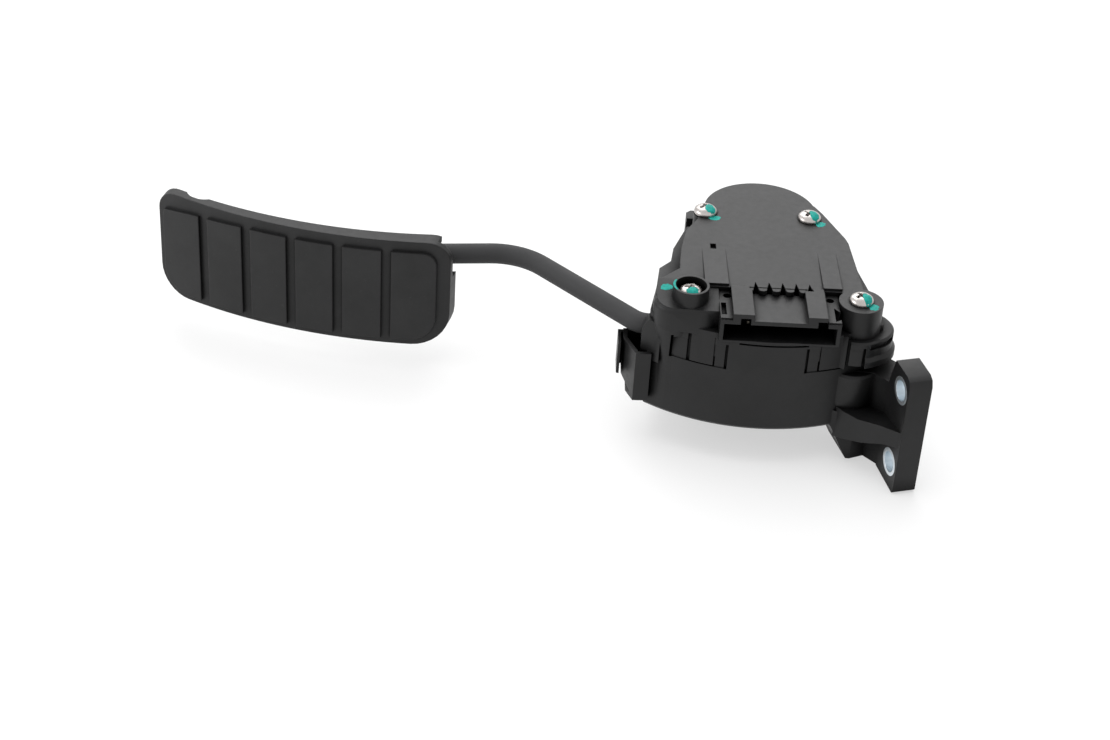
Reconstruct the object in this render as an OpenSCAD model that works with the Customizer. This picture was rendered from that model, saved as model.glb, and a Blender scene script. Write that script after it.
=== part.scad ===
// Accelerator pedal with a sealed position sensor: a moulded case with a side flange,
// a lever on a steel pivot, a bent steel rod and a ribbed foot pad.
// Frame: origin on the mounting face, midway between the two bolt holes.
// +X leaves the mounting face, +Z runs along the pivot towards the sensor cover.

/* [Case] */
// Angle between the mounting face's normal and the case's long side
case_turn = 15.5; // [12:0.5:19]
// Distance of the pivot behind the mounting face
pivot_setback = 37; // [34:0.5:42]
// Distance of the pivot from the bolt line, across the mounting face
pivot_offset = 104; // [100:0.5:108]
// Depth of the case's floor below the bolt holes' middle
case_drop = 12; // [10:0.5:14]
// Height of the moulded case, floor to parting line
case_h = 43; // [42:0.5:46]
// Radius of the case's curved front wall about the pivot
front_r = 83.5; // [82:0.5:88]
// Radius of the case's round back about the pivot
back_r = 27; // [26.5:0.5:30]
// Wall thickness of the case
case_wall = 2.6; // [2:0.1:3.2]
// Thickness of the case's floor
floor_t = 3; // [2.4:0.1:4]

/* [Sensor cover] */
// Height of the cover above the parting line
cover_h = 13; // [12:0.5:15]
// Wall thickness of the cover
cover_wall = 2.2; // [1.8:0.1:2.6]
// Thickness of the cover's deck
deck_t = 2.4; // [2:0.1:3]
// Thickness of the cover's rim flange
rim_t = 2.5; // [2:0.1:3]
// Radius of the deck's round back
dome_r = 24.5; // [23:0.5:26]
// Height of the collar round the front left screw
collar_h = 4; // [2:0.5:6]
// Outer diameter of that collar
collar_d = 15; // [14:0.5:17]
// Wall of that collar
collar_wall = 1.1; // [0.8:0.1:1.5]
// Height that the guide ramps rise above the deck
ramp_rise = 1; // [0.4:0.1:2]
// Number of rounded nibs in front of the deck
nib_count = 6; // [3:1:8]

/* [Connector] */
// Inner width of the connector's mouth
mouth_w = 46; // [42:0.5:48]
// Inner height of the connector's mouth
mouth_h = 7.8; // [7:0.1:8.6]
// Depth of the connector's mouth
mouth_depth = 14; // [10:0.5:16]
// Wall of the connector shroud
shroud_wall = 1.8; // [1.4:0.1:2.2]
// Number of terminal pins
pin_count = 6; // [4:1:8]
// Spacing of the terminal pins
pin_pitch = 5; // [4:0.25:6]
// Side of a square terminal pin
pin_w = 1; // [0.8:0.1:1.4]

/* [Flange] */
// Thickness of the mounting flange
flange_t = 10; // [8:0.5:12]
// Height of the flange above the middle of its bolts
flange_top = 27.5; // [26:0.5:30]
// Depth of the flange below the middle of its bolts
flange_low = 29.3; // [28:0.1:31]
// Distance of the flange's front edge from the bolt line
flange_front = 7.6; // [7.2:0.1:9]
// Width of the flange from its front edge to its web
flange_w = 19; // [17:0.5:21]
// Distance between the two bolt holes
hole_pitch = 36; // [34:0.5:38]
// Inner diameter of the steel bolt sleeves
sleeve_bore = 9; // [8.4:0.1:9.4]
// Wall of the steel bolt sleeves
sleeve_wall = 1.6; // [1.2:0.1:1.8]
// Thickness of the slanting strut between the holes
strut_t = 7.5; // [6:0.5:8]

/* [Pedal rod] */
// Diameter of the steel rod
rod_d = 8.8; // [8.4:0.1:9]
// Height of the rod above the bolt holes' middle
rod_z = 22; // [21:0.5:22.5]
// Distance from the rod's straight run to the case's front wall
rod_gap = 5.1; // [4.5:0.1:6.5]
// Direction from the pivot to that run
rod_angle = 225; // [223:0.5:226]
// Length of the straight run outside the case
rod_run = 53.6; // [45:0.5:65]
// Centre-line radius of the outer bend
bend_r = 28; // [20:1:36]
// Angle of the outer bend
bend_angle = 51; // [44:1:56]
// Centre-line radius of the bend inside the lever
inner_bend_r = 9; // [8.5:0.5:10]
// Length of the rod's end after the outer bend
rod_end_run = 56; // [50:0.5:64]

/* [Foot pad] */
// Length of the pad along its curved face
pad_len = 136; // [120:1:150]
// Width of the pad
pad_w = 52; // [44:1:60]
// Radius of the pad's curved face
pad_r = 215; // [180:5:260]
// Angle along that curve at which the pad begins
pad_start = 2.7; // [1.5:0.1:4]
// Distance from the rod's axis to the top of the curve
pad_standoff = 13.5; // [13:0.1:14.5]
// Distance from the rod's tip back to the top of the curve
pad_crown_back = 48.3; // [46:0.5:50]
// Distance of the pad's middle below the rod
pad_drop = 13; // [10:0.5:15]
// Thickness of the pad's skin
pad_skin = 3; // [2.4:0.1:3.4]
// Depth of the pad's edge skirt, halfway along
pad_skirt = 6.1; // [5.5:0.1:8]
// Lengthwise shift that makes the skirt deeper at the rod's end
skirt_shift = 4.4; // [0:0.2:6]
// Number of raised lands across the pad
land_count = 6; // [4:1:8]
// Height of the raised lands
land_h = 1.5; // [0.8:0.1:2]
// Gap between the lands
land_gap = 4.3; // [3:0.1:5]

/* [Lever and pivot] */
// Pedal travel from rest to the end stop
travel = 15; // [12:0.5:15]
// Diameter of the pivot shaft
shaft_d = 8; // [7:0.5:9]
// Radial running clearance of the bushes on the shaft
run_fit = 0.03; // [0.02:0.01:0.08]
// Wall of the pivot bushes
bush_wall = 1.5; // [1:0.1:1.8]
// Length of the pivot bushes
bush_len = 10; // [8:0.5:12]
// Outer radius of the lever's upper barrel
barrel_r = 10; // [9.5:0.1:11]
// Material above and below the rod inside the lever
lever_wall = 2.2; // [1.8:0.1:2.4]

/* [Springs and stops] */
// Mean radius of the outer return spring
outer_coil_r = 20.2; // [19.6:0.1:20.6]
// Wire diameter of the outer return spring
outer_wire = 2.4; // [2:0.1:2.6]
// Mean radius of the inner return spring
inner_coil_r = 15.4; // [14.8:0.1:15.8]
// Wire diameter of the inner return spring
inner_wire = 2; // [1.6:0.1:2.2]
// Number of turns in the outer spring
outer_turns = 5; // [3:1:5]
// Number of turns in the inner spring
inner_turns = 7; // [4:1:7]
// Gap left between the lever and a rubber stop
stop_gap = 0.3; // [0.2:0.1:0.6]
// Thickness of the rubber stops
stop_t = 3.4; // [2.5:0.1:4]

/* [Fasteners] */
// Head diameter of the cover screws
head_d = 10; // [9:0.1:10.4]
// Head height of the cover screws
head_h = 3.2; // [2.4:0.1:3.6]
// Shank diameter of the cover screws
screw_d = 5; // [4.4:0.1:5.4]
// Length of the cover screws under the head
screw_len = 20; // [18:0.5:22]

/* [Hidden] */
$fn = 72;
// Small overlap that makes two shapes of one moulding join
eps = 0.02;
// Clearance between a part and the pocket that it seats in
seat = 0.05;

floor_z = -case_drop;
parting_z = floor_z + case_h;
deck_z = parting_z + cover_h;
inner_floor_z = floor_z + floor_t;
ceiling_z = deck_z - deck_t;
rod_r = rod_d / 2;
shaft_r = shaft_d / 2;
bush_r = shaft_r + run_fit + bush_wall;
sleeve_r = sleeve_bore / 2 + sleeve_wall;

// Screw places in the case's plan: rear left, rear right, front right, front left
rear_left = [-24, -2.5];
rear_right = [20.8, -4];
front_right = [37, 15.5 - front_r];
front_left = [-33, 15.5 - front_r];
screw_places = [rear_left, rear_right, front_right, front_left];
boss_r = screw_d / 2 + 2.6;

// Case plan, as corners of its side walls
left_rear = [-31, 2];
left_steps = [[-37.6, -17], [-38.9, -27], [-44, -33.2], [-45.6, 35.5 - front_r]];
left_x = -48.6;
left_corner_r = 5;
right_rear = [27, 3];
right_mid = [39.5, -22];
right_front = [47.5, 23.5 - front_r];
plan_depth = front_r + 8;
// Round front left corner, tangent to the left wall and to the curved front
corner_mid = [left_x + left_corner_r,
    -sqrt(pow(front_r - left_corner_r, 2) - pow(left_x + left_corner_r, 2))];
corner_end = 180 + atan2(corner_mid[1], corner_mid[0]) + 180;
left_corner = [for (k = [0 : 4]) let (a = 180 + (corner_end - 180) * k / 4)
    corner_mid + left_corner_r * [cos(a), sin(a)]];
side_points = concat([right_rear, left_rear], left_steps, left_corner,
    [left_corner[4] * 1.12, [0, -plan_depth - 4], [right_front[0], -plan_depth], right_front, right_mid]);
lobe_left = [-38.9, 15.4 - front_r];
lobe_right = [-28, 16 - front_r];
front_right_r = 9.2;
column_r = 12;
column_lobe = front_right + [3.4, 2];
corner_r = 11.6;
ridge_low = parting_z - 11.4;
ridge_high = parting_z - 8.7;
platform_z = deck_z - 3;

// Deck plan of the cover
deck_front = 21.5 - front_r;
deck_points = [[23.8, 7], [-22.6, 9.6], [-27.8, -8.8], [-33, -18.4], [-35.4, -32],
    [-36.6, deck_front + 13], [-44.6, deck_front + 4.5], [-27, deck_front + 4.5], [-27, deck_front],
    [38.8, deck_front],
    [38.6, deck_front + 6], [36, -23], [35, -19], [27, 0.7]];

// Lever, in a plan whose +X points from the pivot to the rod's run
rod_reach = front_r - rod_gap;
arm_half = rod_r + lever_wall;
arm_low_z = rod_z - arm_half;
arm_high_z = rod_z + arm_half;
tip_low_z = rod_z - rod_r - 1;
tip_x = rod_reach - 15.4;
leg_y = inner_bend_r + 1;
arm_rear_y = -5;
arm_front_y = leg_y + rod_r + 3;
arm_end_x = rod_reach - 2;
barrel_top = parting_z + 1;
barrel_low = inner_floor_z + 2;
spring_top = arm_low_z - 3.4;
lower_barrel_r = bush_r + 3;

// Connector, centred on its own middle line
mouth_mid = 3.4;
mouth_front = -front_r + 0.4;
mouth_low = parting_z + 0.9;
mouth_high = mouth_low + mouth_h;
plate_z = mouth_high + shroud_wall;
rail_z = deck_z + 0.5;
board_t = 1.6;
board_z = ceiling_z - 4.4;
pin_z = mouth_low + mouth_h / 2;

// Flange
flange_back = -flange_front + flange_w;
web_corner = [-28, 20];
ledge_z = 14.4;
ledge_low = -4;

function unit(v) = v / norm(v);
function turned(p, a) = [p[0] * cos(a) - p[1] * sin(a), p[0] * sin(a) + p[1] * cos(a)];
// Corner b of an outline moved inwards by d from both its edges
function inset_corner(a, b, c, d) =
    let (u = unit(b - a), w = unit(c - b), m = [-u[1], u[0]], n = [-w[1], w[0]])
    b + (m + n) * d / (1 + m * n);
function inset(pts, d) =
    [for (i = [0 : len(pts) - 1])
        inset_corner(pts[(i + len(pts) - 1) % len(pts)], pts[i], pts[(i + 1) % len(pts)], d)];
// Outline of a rectangle with round corners of their own radii, one corner after another
function round_rect(w, h, r, n = 8) =
    [for (q = [0 : 3]) let (sx = (q == 0 || q == 3) ? 1 : -1, sy = q < 2 ? 1 : -1)
        for (k = [0 : n]) let (a = 90 * q + 90 * k / n)
            [sx * (w / 2 - r[q]) + r[q] * cos(a), sy * (h / 2 - r[q]) + r[q] * sin(a)]];

module in_case() {
    translate([-pivot_setback, pivot_offset, 0])
        rotate([0, 0, -case_turn])
            children();
}

module in_arm() {
    in_case()
        rotate([0, 0, rod_angle])
            children();
}

module slab(pts, z0, z1) {
    translate([0, 0, z0])
        linear_extrude(height = z1 - z0)
            polygon(pts);
}

module post(p, r, z0, z1) {
    translate([p[0], p[1], z0])
        cylinder(r = r, h = z1 - z0);
}

module box(x0, x1, y0, y1, z0, z1) {
    translate([x0, y0, z0])
        cube([x1 - x0, y1 - y0, z1 - z0]);
}

// Main volume of the case, drawn in by d
module case_block(z0, z1, d = 0) {
    intersection() {
        post([0, 0], front_r - d, z0, z1);
        slab(inset(side_points, d), z0 - 1, z1 + 1);
    }
    post([0, 0], back_r - d, z0, z1);
}

// Round bulge at the front right corner
module front_bulges(z0, z1, d = 0) {
    post(front_right, column_r - d, z0, z1);
    post(column_lobe, column_r - d, z0, z1);
}

// Upright block behind the lever's window, shared by case and cover
module rear_block(z0, z1) {
    slab([[-20, 8], [-20, 15], [-29, 15], [-31, 13], [-31, 8]], z0, z1);
}

// Box boss beside the rod's exit, with its open pocket and outer blade
module side_box() {
    top_z = rod_z - rod_r - 1.5;
    low_z = top_z - 23.5;
    y = 10.7 - front_r;
    outline = [[-58.4, y + 18.8], [-58.4, y + 11.8], [-53.4, y], [-47, y + 0.2], [-47, y + 18.8]];
    difference() {
        union() {
            slab(outline, low_z, top_z);
            box(-60.6, -59.4, y + 9.3, y + 18.8, low_z + 7, top_z - 0.6);
            box(-60.6, -58, y + 16.8, y + 18.8, low_z + 7, top_z - 0.6);
        }
        slab(inset(outline, 1.7), top_z - 14, top_z + 1);
        translate([-60, y + 22.8, low_z - 1])
            rotate([0, 40, 0])
                box(-8, 2.2, -30, 10, -6, 6);
    }
}

// Column under the front right screw: a grooved part above, a slot, then a round corner below
module right_column() {
    edge = 0.8;
    corner_top = ledge_z - 0.4;
    difference() {
        for (p = [front_right, column_lobe]) {
            post(p, column_r, ridge_low, parting_z - edge);
            translate([p[0], p[1], parting_z - edge])
                cylinder(r1 = column_r, r2 = column_r - edge, h = edge);
            post(p, column_r + 1.4, ridge_low, ridge_high);
            translate([p[0], p[1], ridge_high])
                cylinder(r1 = column_r + 1.4, r2 = column_r, h = 1.6);
        }
        difference() {
            box(41.6, 56, -front_r, 15 - front_r, parting_z - 3.7, parting_z - 0.9);
            for (p = [front_right, column_lobe])
                post(p, column_r - 1.3, parting_z - 5, parting_z);
        }
    }
    for (p = [front_right, column_lobe])
        translate([p[0], p[1], 0])
            rotate_extrude()
                polygon([[0, floor_z], [corner_r - 4.6, floor_z], [corner_r - 1.4, floor_z + 6],
                    [corner_r, floor_z + 12], [corner_r, corner_top - 1], [corner_r - 0.9, corner_top],
                    [0, corner_top]]);
}

// Bulge under the front left corner: it narrows downwards until the front wall swallows it
module left_column() {
    steps = [[8.6, 0], [7.9, 4], [7.1, 8], [6.4, 12], [5.8, 16], [5, 21]];
    translate([lobe_left[0], lobe_left[1], parting_z])
        rotate_extrude()
            polygon(concat([[0, 0]], [for (k = steps) [k[0], -k[1]]], [[0, -21]]));
}

// Jamb beside the rod's exit, with a shoulder that slopes up to the parting line
module jamb() {
    y = 19 - front_r;
    intersection() {
        translate([0, y, 0])
            rotate([90, 0, 0])
                linear_extrude(height = 10)
                    polygon([[-51.4, 12], [-51.4, 25], [-50.6, 28], [-49, parting_z], [-44, parting_z],
                        [-44, 12]]);
        post([0, 0], front_r + 1.6, 10, parting_z);
    }
}

// Outside of the moulded case without its flange
module case_outside() {
    difference() {
        case_block(floor_z, parting_z);
        difference() {
            post([0, 0], front_r + 2, floor_z - 1, floor_z + 2);
            translate([0, 0, floor_z - 1])
                cylinder(r1 = front_r - 1.6, r2 = front_r + 0.5, h = 3);
        }
    }
    left_column();
    jamb();
    right_column();
    side_box();
    rear_block(floor_z, parting_z);
}

// Opening in the left wall through which the lever and the rod swing
module lever_window() {
    rear = [for (x = [32, 66]) turned([x, arm_rear_y - 1.2], rod_angle - travel)];
    front = 19 - front_r;
    slab([rear[0], rear[1], [-62, front + 24], [-60, front + 2.5], [-46, front], [-36, front + 14.5]],
        tip_low_z - 0.4, arm_high_z + 1);
    slab([rear[0], rear[1], [-62, front + 24], [-60, front + 10.9], [-40, front + 10.9],
        [-36, front + 14.5]], arm_low_z - 2.2, tip_low_z);
}

// Posts and ribs inside the case
module case_inside() {
    for (p = [front_right, front_left])
        post(p, boss_r, floor_z, parting_z);
    // Ledge inside the parting line that carries the seal's groove
    difference() {
        case_block(parting_z - 1.7, parting_z, case_wall - 0.6);
        case_block(parting_z - 2, parting_z + 1, seal_in + 1);
    }
    difference() {
        for (p = [rear_left, rear_right]) {
            side = sign(p[0]);
            post(p, boss_r, arm_low_z + 1.5, parting_z);
            box(min(p[0], p[0] + side * 8), max(p[0], p[0] + side * 8), p[1] - 2, p[1] + 2,
                arm_low_z + 1.5, parting_z);
        }
        // Flat on the rear left boss that the lever's arm passes at full travel
        rotate([0, 0, rod_angle - travel])
            box(12, 29, arm_rear_y - 0.5, barrel_r, arm_low_z, arm_high_z + 0.5);
    }
    post([0, 0], shaft_r + 3, floor_z, inner_floor_z + 0.4);
    spring_anchor(outer_anchor_angle, -5.4, outer_wire);
    spring_anchor(inner_anchor_angle, -7.8, inner_wire);
    rotate([0, 0, rod_angle])
        box(idle_x, idle_x + stop_len, arm_front_y + stop_gap + stop_t - 1.4,
            arm_front_y + stop_gap + stop_t + 2.4, floor_z, arm_high_z);
    rotate([0, 0, rod_angle - travel])
        box(end_x, end_x + end_len, arm_rear_y - stop_gap - stop_t - 2.4,
            arm_rear_y - stop_gap - stop_t + 1.4, floor_z, arm_high_z);
}

idle_x = rod_reach - 25.4;
end_x = 28.4;
stop_len = 11;
end_len = 5.4;
outer_anchor_angle = 62;
inner_anchor_angle = 112;

// Two ribs on the round back that hold a spring's lower leg between them
module spring_anchor(a, z, wire) {
    rotate([0, 0, a])
        for (s = [-1, 1])
            box(outer_coil_r + outer_wire / 2 + 0.5, back_r - case_wall + 1,
                min(s * (wire / 2 + 0.15), s * (wire / 2 + 1.8)),
                max(s * (wire / 2 + 0.15), s * (wire / 2 + 1.8)),
                inner_floor_z - eps, z + wire);
}

// Snaps: a tongue of the cover in a pocket of the front wall, a groove on either side of it.
// Each row holds the tongue's ends, the pocket's ends and the two grooves' places.
tongue_t = 1.2;
tongue_low = parting_z - 13.6;
groove_w = 1.1;
snap_left = [[-31.7, -22.3], [-33, -22.1], [-40, -17.7]];
snap_right = [[21.5, 32.1], [21.3, 33.4], [15.4, 38.8]];
snaps = [snap_left, snap_right];

module front_band(x0, x1, z0, z1, depth, over = 0) {
    difference() {
        intersection() {
            union() {
                case_block(z0, z1, -over);
                front_bulges(z0, z1, -over);
            }
            box(x0, x1, -front_r - 10, 23.5 - front_r, z0, z1);
        }
        case_block(z0 - 1, z1 + 1, depth);
        front_bulges(z0 - 1, z1 + 1, depth);
    }
}

module tongue_pockets() {
    for (n = snaps) {
        front_band(n[1][0], n[1][1], tongue_low - 0.6, parting_z + 1, tongue_t + seat, 3);
        // Wider foot of the pocket, round the tongue's free end
        front_band(n[0][0] - 0.7, n[0][1] + 0.7, tongue_low - 0.6, tongue_low + 4.4, tongue_t + seat, 3);
    }
}

// Grooves that frame each snap, with a shallow panel between them
module frame_grooves() {
    for (n = snaps) {
        for (x = n[2])
            front_band(x, x + groove_w, tongue_low - 0.8, parting_z - 2.4, 1.3, 6);
        front_band(n[2][0], n[2][1] + groove_w, tongue_low - 0.6, parting_z - 3.4, 0.4, 6);
    }
}

// Dark slot under the connector's lower lip
module lip_slot() {
    front_band(-12.5, 16, parting_z - 1.4, parting_z - 0.6, 1.1, 3);
}

// Mounting flange, web and strut, in the part's own frame
module flange_plate() {
    translate([-flange_t, 0, 0])
        rotate([90, 0, 90])
            linear_extrude(height = flange_t)
                polygon([[-flange_front, -flange_low + 1], [-flange_front + 1, -flange_low],
                    [flange_back, -flange_low + 1.2], [flange_back, flange_top - 12],
                    [8, flange_top], [-flange_front + 3.6, flange_top],
                    [-flange_front + 1, flange_top - 1.2], [-flange_front, flange_top - 4]]);
}

// Web between the flange and the case, hollowed in front beside the flange
module web_block() {
    low = 27.6;
    back = [[0, flange_back], [0, 22], [-8, 36], [-26, 38], [-34, 26]];
    intersection() {
        union() {
            slab(concat([web_corner, [-20, 17], [-13.5, 18], [-flange_t, flange_back]], back), -low,
                ledge_low + eps);
            slab(concat([[-24, 23], [-13.5, 18.8], [-flange_t, flange_back]], back), ledge_low, ledge_z);
        }
        translate([0, 60, 0])
            rotate([90, 0, 0])
                linear_extrude(height = 80)
                    polygon([[-40, ledge_z], [-40, -6], [-29, floor_z], [-21.5, -low], [0, -low],
                        [0, ledge_z]]);
    }
}

// Slanting strut between the holes: a side profile carried across the corner
module strut() {
    start = web_corner + [2, -3];
    finish = [-flange_t + 1, -flange_front];
    run = norm(finish - start);
    dir = atan2(finish[1] - start[1], finish[0] - start[0]);
    intersection() {
        translate([start[0], start[1], 0])
            rotate([90, 0, dir])
                translate([0, 0, -40])
                    linear_extrude(height = 40)
                        polygon([[-4, -17], [run * 0.35, -13], [run * 0.7, -6.5 - strut_t * 0.25],
                            [run, 1 - strut_t], [run, 1], [run * 0.6, -0.4], [run * 0.25, -2.6],
                            [-4, -2]]);
        slab([start, finish, [-flange_t + 2, -flange_front], [-flange_t + 2, flange_back + 9],
            web_corner + [-2, 6]], -30, 20);
    }
}

// Cores in the web's hidden underside
module web_pockets() {
    slab([[-20, 22], [-4, 17], [-4, 22], [-11, 32], [-20, 32]], -flange_low, floor_z - 2);
}

module sleeve_places() {
    for (s = [1, -1])
        translate([0, 0, s * hole_pitch / 2])
            rotate([0, -90, 0])
                children();
}

// Distances of the seal's outer and inner side from the outside of the case
seal_out = tongue_t + 0.4;
seal_in = seal_out + 0.8;

module seal_ring(z0, z1, clear = 0) {
    difference() {
        case_block(z0, z1, seal_out - clear);
        case_block(z0 - 1, z1 + 1, seal_in + clear);
    }
}

module housing() {
    color([0.10, 0.10, 0.11])
        difference() {
            union() {
                difference() {
                    union() {
                        in_case() case_outside();
                        web_block();
                    }
                    in_case() case_block(inner_floor_z, parting_z + 10, case_wall);
                    web_pockets();
                }
                in_case() intersection() {
                    case_inside();
                    union() {
                        case_block(floor_z, parting_z);
                        front_bulges(floor_z, parting_z);
                        post(front_left, boss_r, floor_z, parting_z);
                    }
                }
                flange_plate();
                strut();
            }
            in_case() {
                lever_window();
                tongue_pockets();
                frame_grooves();
                lip_slot();
                seal_ring(parting_z - 0.8, parting_z + 1, seat);
                for (p = screw_places)
                    post(p, screw_d / 2 + seat, deck_z - screw_len - 1, parting_z + 1);
                post([0, 0], shaft_r, inner_floor_z - 1.6, inner_floor_z + 1);
            }
            sleeve_places()
                translate([0, 0, -1])
                    cylinder(r = sleeve_r, h = flange_t + 2);
        }
}

// Cover: a rim flange, a raised deck, screw bosses, the connector shroud and two snap tongues
module cover_outside() {
    case_block(parting_z, parting_z + rim_t);
    left_corner_top();
    rear_block(parting_z, parting_z + rim_t + 0.6);
    slab(deck_points, parting_z, deck_z);
    post([0, 0], dome_r, parting_z, deck_z);
    post(front_left, collar_d / 2, parting_z, deck_z + collar_h);
    post(front_right, front_right_r, parting_z, deck_z);
    slab([front_right + [-4, 5], front_right + [2, 5], front_right + [2, -6], front_right + [-6, -6]],
        parting_z, deck_z);
    shroud();
    for (n = snaps)
        front_band(n[0][0], n[0][1], tongue_low, parting_z + rim_t, tongue_t);
}

// One ring of the raised corner's rounded side
module corner_ring(z, r_left, r_right) {
    post(lobe_left, r_left, z, z + 0.02, $fn = 40);
    post(lobe_right, r_right, z, z + 0.02, $fn = 40);
}

// Raised corner round the front left screw: rounded sides and a top that slopes down from the deck
module left_corner_top() {
    back = deck_front + 4.5;
    hull() {
        corner_ring(parting_z, 8.6, 11.1);
        corner_ring(platform_z - 1.8, 9, 9.4);
        corner_ring(platform_z - 0.7, 8.6, 9);
        corner_ring(platform_z + 0.1, 7.7, 8.1);
    }
    intersection() {
        union() {
            case_block(parting_z, deck_z, 1.4);
            post(lobe_left, 7.8, parting_z, deck_z);
            post(lobe_right, 8.2, parting_z, deck_z);
        }
        box(left_x, mouth_mid - shroud_half + eps, -front_r, back + 0.1, parting_z, deck_z);
        rotate([90, 0, 90])
            translate([0, 0, -60])
                linear_extrude(height = 60)
                    polygon([[7.2 - front_r, parting_z], [7.2 - front_r, platform_z + 0.1],
                        [back, deck_z], [back + 1, deck_z], [back + 1, parting_z]]);
    }
}

shroud_half = mouth_w / 2 + shroud_wall - 0.2;

// Connector shroud: the mouth's box, two rails on its top and an ear beside each rail
module shroud() {
    box(mouth_mid - shroud_half, mouth_mid + shroud_half, mouth_front, deck_front + 2, parting_z, plate_z);
    for (x = [rail_left, rail_right])
        box(x[0], x[1], mouth_front, deck_front + 1, plate_z - eps, rail_z);
    box(mouth_mid - shroud_half, rail_left[0] + eps, mouth_front + 0.8, deck_front + 1, plate_z - eps, ear_z);
    box(rail_right[1] - eps, mouth_mid + shroud_half, mouth_front + 0.8, deck_front + 1, plate_z - eps, ear_z);
}

rail_left = [-16.2, -7.6];
rail_right = [14.2, 22.2];
ear_z = plate_z + 0.6;
ramp_left = [-26.8, -16.9];
ramp_right = [22, 29.8];

// Two long ramps on the deck, rising towards the connector
module ramps() {
    length = 30;
    for (x = [ramp_left, ramp_right])
        translate([x[0], deck_front + 1, deck_z - 1])
            rotate([90, 0, 90])
                linear_extrude(height = x[1] - x[0])
                    polygon([[0, 0], [length, 0], [length, 1], [0, 1 + ramp_rise]]);
}

nib_pitch = 5.6;
nib_first = -8.6;

// Row of rounded fingers at the deck's edge, over the trench behind the plate
module nibs() {
    tip = 2.5;
    for (i = [0 : nib_count - 1])
        post([nib_first + i * nib_pitch, deck_front + 1], tip, deck_z - 2.2, deck_z - 0.2);
}

module nib_gaps() {
    for (i = [0 : nib_count - 2])
        translate([nib_first + (i + 0.5) * nib_pitch, deck_front + 5, deck_z - 2.4])
            linear_extrude(height = 3)
                polygon([[0, 0], [-1.3, -6], [1.3, -6]]);
}

// Trench behind the plate, between the rails
module trench() {
    box(rail_left[1] - 4, rail_right[0] + 6, deck_front - 0.2, deck_front + 2.6, plate_z - 3, deck_z - 2.2);
    box(rail_left[1] - 1, rail_right[0] + 1, deck_front - 1, deck_front + 1, plate_z, deck_z + 1);
}

module cover_cavity() {
    intersection() {
        union() {
            slab(inset(deck_points, cover_wall), parting_z - 1, ceiling_z);
            post([0, 0], dome_r - cover_wall, parting_z - 1, ceiling_z);
        }
        box(-60, 60, deck_front + 5, 40, parting_z - 1, ceiling_z);
    }
}

module cover() {
    color([0.13, 0.13, 0.14])
        in_case()
            difference() {
                union() {
                    difference() {
                        cover_outside();
                        cover_cavity();
                        trench();
                    }
                    ramps();
                    nibs();
                    for (p = screw_places)
                        post(p, boss_r, parting_z, deck_z - 0.5);
                    post([0, 0], shaft_r + 2.2, board_z - 1, ceiling_z + eps);
                    for (p = board_posts)
                        post(p, 2, board_z + board_t, ceiling_z + eps);
                }
                // Connector mouth with the slots for its mate's ribs
                box(mouth_mid - mouth_w / 2, mouth_mid + mouth_w / 2, mouth_front - 1,
                    mouth_front + mouth_depth, mouth_low, mouth_high);
                for (x = [-13, 18.4])
                    box(x, x + 4.2, mouth_front - 1, mouth_front + 11, mouth_high - 1, mouth_high + 2.9);
                nib_gaps();
                // Holes and pockets in the ears
                post([-17.7, deck_front - 3.6], 1.7, plate_z - 3, ear_z + 1);
                post([24.5, deck_front - 3.8], 1.6, plate_z - 3, ear_z + 1);
                box(-20.6, -18.6, mouth_front + 3.5, mouth_front + 12.1, mouth_high + 0.6, ear_z + 1);
                slab([[25.7, mouth_front + 11.6], [25.7, mouth_front + 1.9], [31, mouth_front + 5.5]],
                    mouth_high - 4, ear_z + 1);
                for (x = [rail_left[0] - 0.2, rail_right[1] - 0.9])
                    box(x, x + 1.1, deck_front - 1.6, deck_front + 0.2, plate_z - 2, deck_z + 0.3);
                // Screw holes, the seat in the collar and the sink beside it
                for (p = screw_places)
                    post(p, screw_d / 2 + 0.3, parting_z - 1, deck_z + 1);
                post(front_left, collar_d / 2 - collar_wall, deck_z - eps, deck_z + collar_h + 1);
                post([0, 0], shaft_r + seat, parting_z - 1, board_z + board_t + 1.6);
                for (i = [0 : pin_count - 1])
                    box(pin_x(i) - pin_w / 2 - seat, pin_x(i) + pin_w / 2 + seat,
                        mouth_front + mouth_depth - 1, deck_front + 6.4, pin_z - pin_w / 2 - seat,
                        pin_z + pin_w / 2 + seat);
                // Small drain hole in the left ramp
                box(-23.2, -20.8, -32.4, -28.4, deck_z - 1.4, deck_z + 2);
            }
}

function pin_x(i) = mouth_mid + (i - (pin_count - 1) / 2) * pin_pitch;

module cover_seal() {
    color([0.25, 0.12, 0.06])
        in_case()
            difference() {
                seal_ring(parting_z - 0.8 + seat, parting_z);
                for (p = screw_places)
                    post(p, screw_d / 2 + 2 * seat, parting_z - 1, parting_z + 1);
            }
}

board_posts = [[-18, deck_front + 22], [22, deck_front + 22], [-3, 16]];

module circuit_board() {
    color([0.05, 0.25, 0.12])
        in_case()
            difference() {
                union() {
                    post([0, 0], dome_r - cover_wall - 1.2, board_z, board_z + board_t);
                    slab([[18, 0], [-15, 0], [-24, -30], [-24, deck_front + 5 + seat],
                        [29, deck_front + 5 + seat], [29, -30]], board_z, board_z + board_t);
                }
                post([0, 0], shaft_r + 2.2 + 0.3, board_z - 1, board_z + board_t + 1);
                for (p = [rear_left, rear_right])
                    post(p, boss_r + 0.4, board_z - 1, board_z + board_t + 1);
                for (i = [0 : pin_count - 1])
                    post([pin_x(i), pin_rise_y], pin_w / 2 + 0.25, board_z - 1, board_z + board_t + 1);
            }
}

module sensor_chips() {
    color([0.04, 0.04, 0.05])
        in_case()
            for (s = [-1, 1])
                translate([s * 11.5 - 2.5, 6, board_z + board_t])
                    cube([5, 6, 1.2]);
}

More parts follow.
